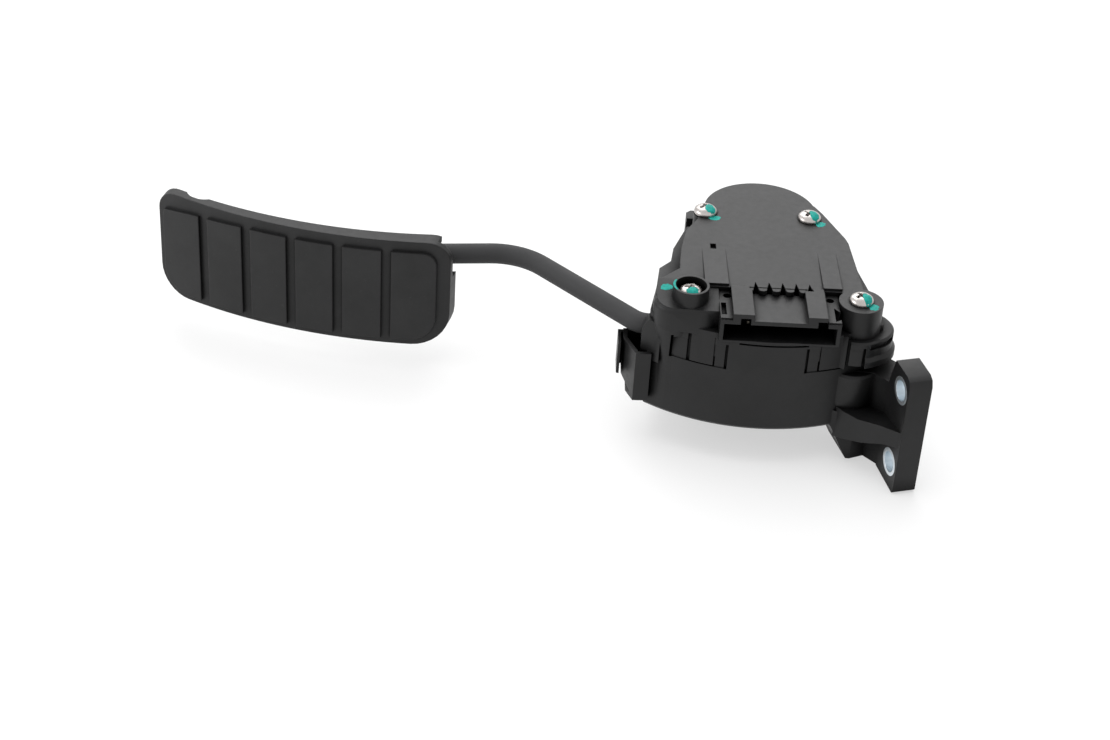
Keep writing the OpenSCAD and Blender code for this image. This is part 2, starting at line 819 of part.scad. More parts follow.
pin_rise_y = deck_front + 7.5;

module terminal_pins() {
    color([0.75, 0.62, 0.3])
        in_case()
            for (i = [0 : pin_count - 1]) {
                box(pin_x(i) - pin_w / 2, pin_x(i) + pin_w / 2, mouth_front + mouth_depth - 6,
                    pin_rise_y + pin_w / 2, pin_z - pin_w / 2, pin_z + pin_w / 2);
                box(pin_x(i) - pin_w / 2 + 0.15, pin_x(i) + pin_w / 2 - 0.15,
                    pin_rise_y - pin_w / 2 + 0.15, pin_rise_y + pin_w / 2 - 0.15,
                    pin_z, board_z + board_t + 1);
            }
}

module rotor_magnet() {
    color([0.2, 0.2, 0.22])
        in_case()
            translate([0, 0, barrel_top])
                difference() {
                    cylinder(r = barrel_r - 0.4, h = 2.2);
                    translate([0, 0, -1])
                        cylinder(r = bush_r + 0.8, h = 5);
                }
}

// Lever plan: an arm that hugs the rod's inner leg, cut back where it leaves the case
module lever_arm_plan() {
    polygon([[0, arm_rear_y], [rod_reach - 24.6, arm_rear_y], [arm_end_x, leg_y + 0.5],
        [arm_end_x, leg_y + 2.4],
        [arm_end_x - 3.6, arm_front_y], [idle_x - 3, arm_front_y], [4, barrel_r - 1],
        [0, barrel_r - 1]]);
}

module lever() {
    color([0.09, 0.09, 0.10])
        in_arm()
            difference() {
                union() {
                    translate([0, 0, barrel_low])
                        cylinder(r = lower_barrel_r, h = barrel_top - barrel_low);
                    translate([0, 0, spring_top + 1])
                        cylinder(r = barrel_r, h = barrel_top - spring_top - 1);
                    translate([0, 0, arm_low_z])
                        linear_extrude(height = 2 * arm_half)
                            lever_arm_plan();
                    // Lug that the springs' upper legs push
                    box(24, end_x - 0.8, lug_y, lug_y + 4, 3, arm_low_z + 1);
                }
                translate([0, 0, barrel_low - 1])
                    cylinder(r = bush_r, h = barrel_top - barrel_low + 2);
                rod_solid(rod_r);
                // Thinner underside where the tip passes over the side box
                box(tip_x, rod_reach, -20, arm_front_y + 1, arm_low_z - 1, tip_low_z);
                // Cored-out flanks that leave a web along the middle of the arm
                for (k = [0 : 2])
                    for (s = [0, 1])
                        translate([14 + k * core_pitch, -2.4, s == 0 ? arm_low_z - 1 : rod_z + 2])
                            cube([core_pitch - 3, 5.4, arm_half - 1]);
            }
}

lug_y = -8.2;
core_pitch = (rod_reach - 39.4) / 3;

module bush_at(z, flip) {
    in_case()
        translate([0, 0, z])
            mirror([0, 0, flip])
                difference() {
                    cylinder(r = bush_r, h = bush_len);
                    translate([0, 0, -1])
                        cylinder(r = shaft_r + run_fit, h = bush_len + 2);
                }
}

module upper_bush() {
    color([0.85, 0.83, 0.75])
        bush_at(barrel_top, 1);
}

module lower_bush() {
    color([0.85, 0.83, 0.75])
        bush_at(barrel_low, 0);
}

module pivot_shaft() {
    chamfer = 0.8;
    low = inner_floor_z - 1.6;
    high = board_z + board_t + 1.2;
    color([0.72, 0.73, 0.75])
        in_case()
            translate([0, 0, low])
                rotate_extrude()
                    polygon([[0, 0], [shaft_r - chamfer, 0], [shaft_r, chamfer],
                        [shaft_r, high - low - chamfer], [shaft_r - chamfer, high - low],
                        [0, high - low]]);
}

module shaft_retainer() {
    color([0.6, 0.6, 0.62])
        in_case()
            difference() {
                post([0, 0], bush_r + 0.5, barrel_top + 0.3, barrel_top + 1.1);
                post([0, 0], shaft_r, barrel_top, barrel_top + 3);
                box(-0.9, 0.9, 0, 9, barrel_top, barrel_top + 3);
            }
}

module thrust_washer() {
    color([0.88, 0.86, 0.8])
        in_case()
            difference() {
                post([0, 0], lower_barrel_r + 0.4, inner_floor_z + 0.4, inner_floor_z + 1.2);
                post([0, 0], shaft_r + 0.2, inner_floor_z, inner_floor_z + 2);
            }
}

// Wave washer: a flat ring whose height follows three waves round its axis
wave_t = 0.3;
wave_h = 0.4;
function wave_ring(r, z, n) =
    [for (i = [0 : n - 1]) let (a = 360 * i / n)
        [r * cos(a), r * sin(a), z + wave_h / 2 * (1 + cos(3 * a)) / 1.1]];

module wave_washer() {
    n = 48;
    low = inner_floor_z + 1.25;
    inner = shaft_r + 0.4;
    outer = lower_barrel_r - 0.2;
    pts = concat(wave_ring(outer, low, n), wave_ring(outer, low + wave_t, n),
        wave_ring(inner, low + wave_t, n), wave_ring(inner, low, n));
    faces = [for (s = [0 : 3]) for (i = [0 : n - 1]) let (j = (i + 1) % n, t = (s + 1) % 4)
        [s * n + i, t * n + i, t * n + j, s * n + j]];
    color([0.65, 0.66, 0.68])
        in_case()
            polyhedron(points = pts, faces = [for (f = faces) for (k = [0, 1])
                k == 0 ? [f[0], f[1], f[2]] : [f[0], f[2], f[3]]]);
}

// Wire path of a return spring: lower leg, helix about the pivot, upper leg along the lever
function coil_path(r, z0, z1, turns, a0, a1, leg0, leg1, steps) =
    let (sweep = 360 * turns + a1 - a0, n = turns * steps)
    concat(
        [[(r + leg0) * cos(a0), (r + leg0) * sin(a0), z0],
            [(r + 1.2) * cos(a0), (r + 1.2) * sin(a0), z0]],
        [for (i = [1 : n - 1]) let (t = i / n, a = a0 + sweep * t)
            [r * cos(a), r * sin(a), z0 + (z1 - z0) * min(1, max(0, (t - 0.04) / 0.92))]],
        [[(r + 1.2) * cos(a1), (r + 1.2) * sin(a1), z1],
            [(r + leg1) * cos(a1), (r + 1.2) * sin(a1), z1]]);

function path_tangent(p, i) = unit(p[min(i + 1, len(p) - 1)] - p[max(i - 1, 0)]);
// Ring of s points about path point i, square to the path and levelled with the axis
function wire_ring(p, i, r, s) =
    let (t = path_tangent(p, i), side = unit(cross(t, [0, 0, 1])), up = cross(side, t))
    [for (k = [0 : s - 1]) p[i] + r * (cos(360 * k / s) * side + sin(360 * k / s) * up)];

module wire(p, r, s) {
    n = len(p);
    pts = [for (i = [0 : n - 1]) each wire_ring(p, i, r, s)];
    sides = [for (i = [0 : n - 2]) for (k = [0 : s - 1]) let (l = (k + 1) % s)
        each [[i * s + k, (i + 1) * s + k, (i + 1) * s + l], [i * s + k, (i + 1) * s + l, i * s + l]]];
    first = [for (k = [1 : s - 2]) [0, k, k + 1]];
    last = [for (k = [1 : s - 2]) [(n - 1) * s, (n - 1) * s + k + 1, (n - 1) * s + k]];
    polyhedron(points = pts, faces = concat(sides, first, last));
}

// Direction at which a spring's upper leg passes the lug on its rear side
function leg_angle(r, wire_d) = asin((lug_y - wire_d / 2 - 0.1) / (r + 1.2));

module return_spring_outer() {
    color([0.6, 0.61, 0.63])
        in_arm()
            wire(coil_path(outer_coil_r, -5.4, 8.2, outer_turns, outer_anchor_angle - rod_angle + 360,
                leg_angle(outer_coil_r, outer_wire) + 360, 3.4, 8.6, 24), outer_wire / 2, 8);
}

module return_spring_inner() {
    color([0.6, 0.61, 0.63])
        in_arm()
            wire(coil_path(inner_coil_r, -7.8, 10.8, inner_turns, inner_anchor_angle - rod_angle + 360,
                leg_angle(inner_coil_r, inner_wire) + 360, 8.2, 16, 24), inner_wire / 2, 8);
}

module idle_stop() {
    color([0.06, 0.06, 0.06])
        in_arm()
            box(idle_x + 0.6, idle_x + stop_len - 0.6, arm_front_y + stop_gap,
                arm_front_y + stop_gap + stop_t - 1.4, arm_low_z + 1, arm_high_z - 1);
}

module end_stop() {
    color([0.06, 0.06, 0.06])
        in_case()
            rotate([0, 0, rod_angle - travel])
                box(end_x + 0.6, end_x + end_len - 0.6, arm_rear_y - stop_gap - stop_t + 1.4,
                    arm_rear_y - stop_gap, arm_low_z + 1, arm_high_z - 1);
}

// Bent rod of radius r: inner leg, tight bend, straight run, outer bend and end
module rod_solid(r) {
    leg_end = 24;
    translate([leg_end, leg_y, rod_z])
        rotate([0, 90, 0])
            cylinder(r = r, h = rod_reach - inner_bend_r - leg_end);
    translate([rod_reach - inner_bend_r, leg_y - inner_bend_r, rod_z])
        rotate_extrude(angle = 90)
            translate([inner_bend_r, 0])
                circle(r = r);
    translate([rod_reach, leg_y - inner_bend_r, rod_z])
        rotate([90, 0, 0])
            cylinder(r = r, h = rod_run + leg_y - inner_bend_r);
    translate([rod_reach + bend_r, -rod_run, rod_z])
        rotate([0, 0, 180])
            rotate_extrude(angle = bend_angle)
                translate([bend_r, 0])
                    circle(r = r);
    at_rod_end()
        translate([-rod_end_run - 0.3, 0, 0])
            rotate([0, 90, 0])
                cylinder(r = r - 0.01, h = rod_end_run + 0.3);
}

// Frame at the rod's tip: +X along the rod, +Y towards the driver's foot
module at_rod_end() {
    heading = bend_angle - 90;
    corner = [rod_reach + bend_r, -rod_run] + bend_r * [cos(180 + bend_angle), sin(180 + bend_angle)];
    tip = corner + rod_end_run * [cos(heading), sin(heading)];
    translate([tip[0], tip[1], rod_z])
        rotate([0, 0, heading])
            children();
}

module pedal_rod() {
    color([0.07, 0.07, 0.08])
        in_arm()
            difference() {
                rod_solid(rod_r);
                at_rod_end()
                    translate([-pin_back, 0, -20])
                        cylinder(r = pad_pin_r, h = 40);
            }
}

// Frame of the foot pad: origin at its curve's centre, +Y to the middle of the face
pad_half_angle = pad_len / pad_r * 90 / PI;
module at_pad() {
    at_rod_end()
        translate([-pad_crown_back, pad_standoff - pad_r, -pad_drop])
            rotate([0, 0, -pad_start - pad_half_angle])
                children();
}

pad_chord = 2 * pad_r * sin(pad_half_angle);
// Corner radii: outer top, rod-side top, rod-side bottom, outer bottom
pad_corners = [9, 10, 16, 14];

// Prism of the pad's outline across its thickness, drawn in by d
module pad_prism(d, low = 0, high = 0) {
    rotate([90, 0, 0])
        translate([0, (low - high) / 2, -pad_r - 10])
            linear_extrude(height = 60)
                polygon(round_rect(pad_chord - 2 * d, pad_w - 2 * d - low - high,
                    [for (c = pad_corners) max(c - d, 1)]));
}

module pad_ring(r0, r1) {
    difference() {
        translate([0, 0, -pad_w])
            cylinder(r = r1, h = 2 * pad_w, $fn = 180);
        translate([0, 0, -pad_w - 1])
            cylinder(r = r0, h = 2 * pad_w + 2, $fn = 180);
    }
}

// Ends of the row of lands, measured from the pad's middle
land_x = [-61.5, 64.4];
land_top_margin = 4.7;
land_low_margin = 2.8;

module pad_lands() {
    total = land_x[1] - land_x[0];
    pitch = total / land_count;
    height = pad_w - land_top_margin - land_low_margin;
    half = pad_w / 2;
    difference() {
        intersection() {
            pad_ring(pad_r - 0.5, pad_r + land_h);
            translate([(land_x[0] + land_x[1]) / 2, 0, (land_low_margin - land_top_margin) / 2])
                rotate([90, 0, 0])
                    translate([0, 0, -pad_r - 10])
                        linear_extrude(height = 60)
                            polygon(round_rect(total, height, [7, 6, 12, 12]));
            rotate([90, 0, 0])
                translate([0, 0, -pad_r - 10])
                    linear_extrude(height = 60)
                        polygon([[-80, -half], [80, -half], [80, half - 12], [66, half - 8.5],
                            [50, half - 6.3], [24, half - 5], [-80, half - 4.4]]);
        }
        for (i = [1 : land_count - 1])
            translate([land_x[0] + i * pitch - land_gap / 2, pad_r - 40, -pad_w])
                cube([land_gap, 80, 2 * pad_w]);
    }
}

// Edge skirt on the back, notched where the rod passes and at the outer top corner
module pad_edge() {
    notch_r = 8;
    notch_angle = 13.4;
    difference() {
        intersection() {
            skirt_ring();
            pad_prism(0);
        }
        pad_prism(2.2);
        rotate([0, 0, -notch_angle])
            translate([0, pad_r - 2.8 - notch_r, pad_w / 2 - 10])
                cylinder(r = notch_r, h = 20);
        translate([-pad_chord / 2 - 4, pad_r - 40, pad_drop - rod_r - 1])
            cube([10, 40 - pad_skin, 40]);
    }
}

// Ring from the skin back to the skirt's edge
module skirt_ring() {
    difference() {
        translate([0, 0, -pad_w])
            cylinder(r = pad_r - 1, h = 2 * pad_w, $fn = 180);
        translate([skirt_shift, 0, -pad_w - 1])
            cylinder(r = pad_r - pad_skirt, h = 2 * pad_w + 2, $fn = 180);
    }
}

module pedal_pad() {
    color([0.12, 0.12, 0.13])
        in_arm()
            difference() {
                union() {
                    at_pad() {
                        intersection() {
                            pad_ring(pad_r - pad_skin, pad_r);
                            pad_prism(0);
                        }
                        pad_edge();
                        pad_lands();
                        // Stiffening ribs across the back
                        intersection() {
                            skirt_ring();
                            pad_prism(1);
                            for (x = [-52, -30, -8, 36])
                                translate([x, pad_r - 40, -pad_w])
                                    cube([1.8, 80, pad_w + pad_drop - rod_r - 1]);
                        }
                    }
                    // Boss that the rod's end is pressed into
                    intersection() {
                        at_rod_end()
                            translate([-boss_len, 0, 0])
                                rotate([0, 90, 0])
                                    cylinder(r = rod_r + 3, h = boss_len + 3);
                        at_pad()
                            cylinder(r = pad_r - 1, h = 4 * pad_w, center = true, $fn = 180);
                    }
                }
                rod_solid(rod_r);
                at_rod_end()
                    translate([-pin_back, 0, -20])
                        cylinder(r = pad_pin_r, h = 40);
            }
}

boss_len = 30;
pin_back = 14;
pad_pin_r = 1.5;

module pad_pin() {
    color([0.7, 0.71, 0.73])
        in_arm()
            at_rod_end()
                translate([-pin_back, 0, -rod_r - 3])
                    difference() {
                        cylinder(r = pad_pin_r, h = 2 * rod_r + 6);
                        translate([0, 0, -1])
                            cylinder(r = pad_pin_r - 0.5, h = 2 * rod_r + 8);
                    }
}

// Pan-head screw standing on its seat, with a cross recess
module screw() {
    edge = 0.7;
    difference() {
        union() {
            rotate_extrude()
                polygon(concat([[0, 0], [head_d / 2, 0], [head_d / 2, edge]],
                    [for (k = [1 : 8]) let (a = 90 * k / 8)
                        [head_d / 2 * cos(a), edge + (head_h - edge) * sin(a)]]));
            translate([0, 0, -screw_len])
                cylinder(r = screw_d / 2, h = screw_len + eps);
        }
        for (a = [0, 90])
            rotate([0, 0, a])
                translate([-2.2, -0.45, head_h - 1.5])
                    cube([4.4, 0.9, 3]);
    }
}

module cover_screws() {
    color([0.8, 0.82, 0.84])
        in_case()
            for (p = screw_places)
                translate([p[0], p[1], deck_z])
                    rotate([0, 0, 20])
                        screw();
}

module sleeve() {
    rotate([0, -90, 0])
        difference() {
            cylinder(r = sleeve_r, h = flange_t);
            translate([0, 0, -1])
                cylinder(r = sleeve_bore / 2, h = flange_t + 2);
        }
}

module upper_sleeve() {
    color([0.75, 0.82, 0.88])
        translate([0, 0, hole_pitch / 2])
            sleeve();
}

module lower_sleeve() {
    color([0.75, 0.82, 0.88])
        translate([0, 0, -hole_pitch / 2])
            sleeve();
}

housing();
cover();
cover_seal();
circuit_board();
sensor_chips();
terminal_pins();
rotor_magnet();
lever();
upper_bush();
lower_bush();
pivot_shaft();
shaft_retainer();
thrust_washer();
wave_washer();
return_spring_outer();
return_spring_inner();
idle_stop();
end_stop();
pedal_rod();
pedal_pad();
pad_pin();
cover_screws();
upper_sleeve();
lower_sleeve();
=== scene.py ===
"""Looks of an accelerator pedal: finished shells, wound springs, threaded screws, paint marks and studio."""

import math

import bmesh
import bpy
import numpy as np
from bpy.props import FloatProperty, FloatVectorProperty, IntProperty, PointerProperty
from mathutils import Matrix, Vector


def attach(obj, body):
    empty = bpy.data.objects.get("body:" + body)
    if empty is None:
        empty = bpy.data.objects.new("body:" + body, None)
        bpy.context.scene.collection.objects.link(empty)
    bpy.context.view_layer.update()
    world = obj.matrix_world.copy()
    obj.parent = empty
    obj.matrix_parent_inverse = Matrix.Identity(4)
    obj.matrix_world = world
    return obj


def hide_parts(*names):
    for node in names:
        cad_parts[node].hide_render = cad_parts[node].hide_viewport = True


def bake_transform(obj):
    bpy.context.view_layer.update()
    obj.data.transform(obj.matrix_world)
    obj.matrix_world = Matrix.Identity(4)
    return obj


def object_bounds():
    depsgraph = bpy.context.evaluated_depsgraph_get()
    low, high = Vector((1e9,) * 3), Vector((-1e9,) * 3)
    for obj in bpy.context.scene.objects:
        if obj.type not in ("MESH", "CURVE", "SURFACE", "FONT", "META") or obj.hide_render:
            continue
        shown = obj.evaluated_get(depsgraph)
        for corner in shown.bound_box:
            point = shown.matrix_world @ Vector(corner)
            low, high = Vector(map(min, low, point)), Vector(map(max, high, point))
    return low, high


bl_info = {
    "name": "Accelerator pedal looks",
    "version": (1, 0, 0),
    "blender": (4, 5, 0),
    "location": "View3D > Sidebar > Pedal",
    "description": "Finishes the pedal's mouldings, springs, screws and paint marks, and lights them",
    "category": "Object",
}

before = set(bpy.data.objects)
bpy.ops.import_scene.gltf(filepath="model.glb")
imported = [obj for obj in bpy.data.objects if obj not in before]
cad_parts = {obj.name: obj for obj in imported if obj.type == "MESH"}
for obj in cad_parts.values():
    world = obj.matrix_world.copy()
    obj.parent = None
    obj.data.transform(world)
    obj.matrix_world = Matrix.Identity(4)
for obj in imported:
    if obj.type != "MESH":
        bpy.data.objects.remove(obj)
cad_low, cad_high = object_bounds()

MM = 0.001
# The case is turned about the pivot, in the same frame as the part's source
PIVOT = np.array([-37.0, 104.0])
CASE_TURN = math.radians(-15.5)
ARM_TURN = math.radians(225.0)
DECK_Z = 44.0
# The sloping front left corner falls from this line across the case, by this much per millimetre
SLOPE_START, SLOPE = -57.5, 0.1543
# The collar round the front left screw: its rim's two radii and its height over the deck
COLLAR_RIM, COLLAR_H = (6.45, 7.45), 4.0

# The cover screws: their middles in the case's frame, the sizes of head, thread, shank and cross recess, and
# how far each screw's cross is turned, in radians
SCREWS = {"rear_left": (-24, -2.5), "rear_right": (20.8, -4),
          "front_right": (37, -68), "front_left": (-33, -68)}
HEAD_R, HEAD_H, HEAD_RIM = 5.0, 3.2, 0.7
THREAD_R, CORE_R, NECK_R = 2.5, 1.9, 2.0
SHANK_LENGTH, TIP_LENGTH = 20.0, 3.0
RECESS_ARM, RECESS_HALF, RECESS_DEPTH = 2.8, 0.8, 1.9
SCREW_TURNS = (0.3, 0.9, 0.55, 1.2)

# Torsion springs: wire radius, then coil radius, lower and upper height, turns, start and end angle in
# degrees, and the lengths of the lower and the upper leg
SPRINGS = {"return_spring_outer": (1.2, (20.2, -5.4, 8.2, 5, 197.0, 333.65, 3.4, 8.6)),
           "return_spring_inner": (1.0, (15.4, -7.8, 10.8, 7, 247.0, 325.93, 8.2, 16.0))}

# Copies of the solids: corners nearer than this are joined, faces flatter than the first angle are made
# one, and edges sharper than the second stay sharp
WELD_MM, FLAT_ANGLE, SHARP_ANGLE = 0.02, 0.3, 28.0

# Half the floor's width, its gap below the part and the photograph's camera, in metres
FLOOR_HALF, FLOOR_GAP = 6.0, 0.0004
CAMERA_PLACE = (-0.37056, -0.69516, 0.54894)
CAMERA_FORWARD = (0.2415, 0.7868, -0.568)
CAMERA_RIGHT = (0.96466, -0.25822, 0.05248)
CAMERA_LENS = 74.69


# Shapes

def turned(x, y, angle):
    """The plane's x and y turned about its origin by an angle in radians."""
    c, s = math.cos(angle), math.sin(angle)
    return x * c - y * s, x * s + y * c


def case_to_part(points):
    """Points of the case's frame, in millimetres, turned and moved into the part's frame, in metres."""
    x, y, z = np.moveaxis(np.asarray(points, float), -1, 0)
    x, y = turned(x, y, CASE_TURN)
    return np.stack([PIVOT[0] + x, PIVOT[1] + y, z], -1) * MM


def arm_to_part(points):
    """Points of the lever's frame, in millimetres, turned onto the case's frame and then into the part's."""
    x, y, z = np.moveaxis(np.asarray(points, float), -1, 0)
    return case_to_part(np.stack([*turned(x, y, ARM_TURN), z], -1))


def mesh_object(name, points, faces, material, body, slot, smooth_angle=35.0):
    """A mesh from arrays of points in metres and faces, with its material, and ridden on a body where one is
    named. The slot argument is not used."""
    mesh = bpy.data.meshes.new(name)
    corners = [tuple(p) for p in np.asarray(points, float)]
    mesh.from_pydata(corners, [], [tuple(int(i) for i in f) for f in faces])
    mesh.validate()
    mesh.shade_smooth()
    mesh.set_sharp_from_angle(angle=math.radians(smooth_angle))
    obj = bpy.data.objects.new(name, mesh)
    bpy.context.scene.collection.objects.link(obj)
    mesh.materials.append(material)
    if body:
        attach(obj, body)
    return obj


def grid_faces(rows, columns, closed=True):
    """Quads between neighbouring rows and columns of a grid; the last column joins the first if closed."""
    i, j = np.meshgrid(np.arange(rows - 1), np.arange(columns if closed else columns - 1), indexing="ij")
    k = (j + 1) % columns
    quads = np.stack([i * columns + j, i * columns + k, (i + 1) * columns + k, (i + 1) * columns + j], -1)
    return quads.reshape(-1, 4).tolist()


def capped_grid(rows, columns):
    """Faces of a grid whose rows are closed rings, with one polygon over each end."""
    faces = grid_faces(rows, columns)
    faces.append(list(range(columns - 1, -1, -1)))
    faces.append([(rows - 1) * columns + k for k in range(columns)])
    return faces


def joined(parts):
    """Points and faces of several meshes as those of one."""
    points, faces, base = [], [], 0
    for part_points, part_faces in parts:
        points.append(part_points)
        faces += [[base + k for k in face] for face in part_faces]
        base += len(part_points)
    return np.concatenate(points), faces


def tube(path, radius, sides=16):
    """Closed tube along a path: at each point a circle of the radius, in the plane of two directions square
    to the path's tangent, one of them level."""
    p = np.asarray(path, float)
    tangent = np.gradient(p, axis=0)
    tangent /= np.linalg.norm(tangent, axis=1)[:, None]
    side = np.cross(tangent, (0, 0, 1.0))
    side /= np.linalg.norm(side, axis=1)[:, None]
    up = np.cross(side, tangent)
    a = np.linspace(0, 2 * np.pi, sides, endpoint=False)
    ring = np.cos(a)[None, :, None] * side[:, None] + np.sin(a)[None, :, None] * up[:, None]
    points = (p[:, None] + radius * ring).reshape(-1, 3)
    return points, capped_grid(len(p), sides)


def spring_path(radius, low, high, turns, start, end, lower_leg, upper_leg, per_turn=48):
    """Centre line of a torsion spring in the lever's frame: a straight lower leg that points away from the
    axis, a helix whose first and last part lie flat, and an upper leg along the lever. Each leg begins a
    corner's width outside the coil, and the two corners are rounded by averaging each point with its
    neighbours."""
    corner, leg_points = 1.2, 7
    t = np.linspace(0, 1, turns * per_turn + 1)[1:-1]
    a = np.radians(start + (360 * turns + end - start) * t)
    z = low + (high - low) * np.clip((t - 0.04) / 0.92, 0, 1)
    helix = np.stack([radius * np.cos(a), radius * np.sin(a), z], -1)
    first, last = math.radians(start), math.radians(end)
    out = np.linspace(lower_leg, corner, leg_points)[:, None] + radius
    lower = np.concatenate([out * (math.cos(first), math.sin(first)), np.full((leg_points, 1), low)], 1)
    along = (np.linspace(corner, upper_leg, leg_points) + radius) * math.cos(last)
    across = np.full(leg_points, (radius + corner) * math.sin(last))
    upper = np.stack([along, across, np.full(leg_points, high)], -1)
    path = np.concatenate([lower, helix, upper])
    for _ in range(3):
        path[1:-1] = 0.25 * path[:-2] + 0.5 * path[1:-1] + 0.25 * path[2:]
    return path


def finished_copy(node, body, material):
    """Copy of a CAD node with its triangles joined, flat faces made whole and curved ones shaded smooth."""
    mesh = bpy.data.meshes.new(node + "_finish")
    bm = bmesh.new()
    bm.from_mesh(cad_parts[node].data)
    bmesh.ops.remove_doubles(bm, verts=bm.verts, dist=WELD_MM * MM)
    bmesh.ops.dissolve_limit(bm, angle_limit=math.radians(FLAT_ANGLE), verts=bm.verts, edges=bm.edges)
    bm.to_mesh(mesh)
    bm.free()
    for name in ("custom_normal", "sharp_edge"):
        if name in mesh.attributes:
            mesh.attributes.remove(mesh.attributes[name])
    mesh.materials.clear()
    mesh.materials.append(material)
    mesh.shade_smooth()
    mesh.set_sharp_from_angle(angle=math.radians(SHARP_ANGLE))
    obj = bpy.data.objects.new(node + "_finish", mesh)
    bpy.context.scene.collection.objects.link(obj)
    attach(obj, body)
    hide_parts(node)


# Materials

def node_tree(name):
    mat = bpy.data.materials.new(name)
    mat.use_nodes = True
    nt = mat.node_tree
    shader = nt.nodes["Principled BSDF"]
    coords = nt.nodes.new("ShaderNodeTexCoord")
    return mat, nt, shader, coords.outputs["Object"]


def noise(nt, coords, scale, detail=3.0, rough=0.55):
    """Noise in object space; scale is per metre."""
    n = nt.nodes.new("ShaderNodeTexNoise")
    n.inputs["Scale"].default_value = scale
    n.inputs["Detail"].default_value = detail
    n.inputs["Roughness"].default_value = rough
    nt.links.new(coords, n.inputs["Vector"])
    return n.outputs["Fac"]


def ramp(nt, value, stops):
    """Colour ramp through (position, grey or colour) stops."""
    r = nt.nodes.new("ShaderNodeValToRGB")
    els = r.color_ramp.elements
    while len(els) < len(stops):
        els.new(0.5)
    for e, (pos, c) in zip(els, stops):
        e.position = pos
        e.color = (*((c,) * 3 if isinstance(c, (int, float)) else c), 1)
    nt.links.new(value, r.inputs["Fac"])
    return r.outputs["Color"]


def mix(nt, factor, a, b, blend="MIX"):
    """Colour mix of a and b, each a colour or a socket."""
    m = nt.nodes.new("ShaderNodeMix")
    m.data_type = "RGBA"
    m.blend_type = blend
    for key, val in (("Factor", factor), ("A", a), ("B", b)):
        sock = next(s for s in m.inputs if s.name == key and s.enabled)
        if isinstance(val, (int, float)):
            sock.default_value = val if key == "Factor" else (val, val, val, 1)
        elif isinstance(val, tuple):
            sock.default_value = (*val, 1)
        else:
            nt.links.new(val, sock)
    return next(s for s in m.outputs if s.enabled)


def bump(nt, height, strength, distance, normal=None):
    b = nt.nodes.new("ShaderNodeBump")
    b.inputs["Strength"].default_value = strength
    b.inputs["Distance"].default_value = distance
    nt.links.new(height, b.inputs["Height"])
    if normal:
        nt.links.new(normal, b.inputs["Normal"])
    return b.outputs["Normal"]


def rounded(nt, radius):
    b = nt.nodes.new("ShaderNodeBevel")
    b.samples = 6
    b.inputs["Radius"].default_value = radius
    return b.outputs["Normal"]


def hollow_shade(nt, distance):
    """Mask of painted shade: grey that falls from one on open faces to nought deep in hollows of about the
    given depth.
    """
    n = nt.nodes.new("ShaderNodeAmbientOcclusion")
    n.samples = 8
    n.inputs["Distance"].default_value = distance
    return ramp(nt, n.outputs["AO"], [(0.2, 0.0), (0.85, 1.0)])


def maths(nt, operation, a, b):
    """Result of one of Blender's sums on two sockets."""
    n = nt.nodes.new("ShaderNodeMath")
    n.operation = operation
    nt.links.new(a, n.inputs[0])
    nt.links.new(b, n.inputs[1])
    return n.outputs[0]


def any_ray(nt, *kinds):
    """One for a ray of any of the named kinds and nought for all others."""
    path = nt.nodes.new("ShaderNodeLightPath")
    value = path.outputs[kinds[0]]
    for kind in kinds[1:]:
        value = maths(nt, "MAXIMUM", value, path.outputs[kind])
    return value


def moulded_plastic(name, colour, roughness, edge=0.4, wear=0.5, sheen=0.32, hollow=0.0):
    """Moulded plastic: fine sand-like grain, cloudy gloss, paler scuffs and softened edges. Where a depth of
    hollows is given, painted shade darkens them and their reflections, and they are rougher."""
    mat, nt, shader, at = node_tree(name)
    dark = tuple(c * 0.88 for c in colour)
    pale = tuple(c * 1.15 + 0.001 for c in colour)
    base = mix(nt, ramp(nt, noise(nt, at, 60, 4), [(0.35, 0.0), (0.65, 1.0)]), dark, pale)
    scuff = ramp(nt, noise(nt, at, 420, 6, 0.7), [(0.62, 0.0), (0.74, wear)])
    base = mix(nt, scuff, base, tuple(c * 2.0 + 0.004 for c in colour))
    gloss = ramp(nt, noise(nt, at, 340, 5), [(0.3, roughness - 0.03), (0.7, roughness + 0.03)])
    # Painted shade: hollows found by ambient occlusion get a darker base colour and a darker specular tint,
    # so darker reflections; they are also made rougher.
    if hollow:
        open_face = hollow_shade(nt, hollow * MM)
        base = mix(nt, open_face, (0.0, 0.0, 0.0), base)
        gloss = mix(nt, open_face, 0.95, gloss)
        nt.links.new(open_face, shader.inputs["Specular Tint"])
    nt.links.new(base, shader.inputs["Base Color"])
    nt.links.new(gloss, shader.inputs["Roughness"])
    shader.inputs["Specular IOR Level"].default_value = sheen
    normal = bump(nt, noise(nt, at, 2600, 2, 0.5), 0.35, 0.00006, rounded(nt, edge * MM))
    nt.links.new(normal, shader.inputs["Normal"])
    return mat


